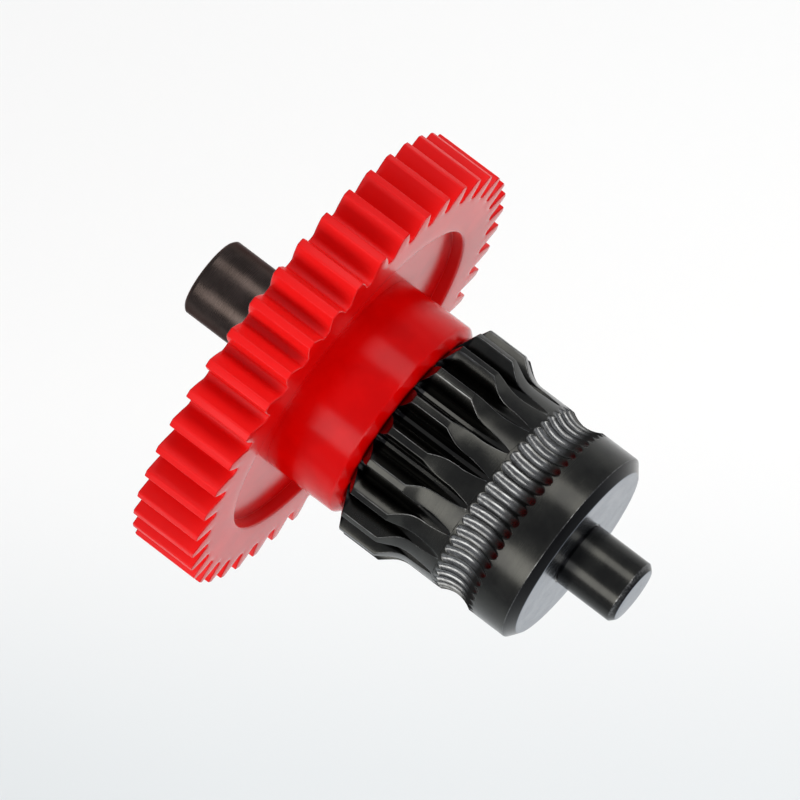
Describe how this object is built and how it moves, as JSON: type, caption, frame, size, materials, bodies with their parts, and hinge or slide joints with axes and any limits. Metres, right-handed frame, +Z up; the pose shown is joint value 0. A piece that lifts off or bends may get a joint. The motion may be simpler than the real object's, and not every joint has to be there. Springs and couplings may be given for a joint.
{
  "type": "extruder gear assembly",
  "caption": "Moulded spur gear on a steel drive gear with a serrated filament track, with a plain round journal at each end of its spin axis.",
  "frame": {"origin": "on the spin axis, at mid-width of the reduction gear's toothed rim", "axes": "Y along the spin axis with the drive gear and front journal towards -Y; +Z up; the assembly is round about Y"},
  "size_m": [0.0286, 0.0306, 0.0286],
  "materials": {
    "red_gear_plastic": "satin moulded engineering plastic",
    "bush_steel": "turned and knurled",
    "pin_steel": "brown-black, turned",
    "hardened_steel": "polished black oxide, bright where the serrations are cut"
  },
  "bodies": {
    "root": {"reduction_gear": "red_gear_plastic", "hub_bush": "bush_steel", "rear_axle_pin": "pin_steel", "drive_gear": "hardened_steel"}
  },
  "joints": []
}
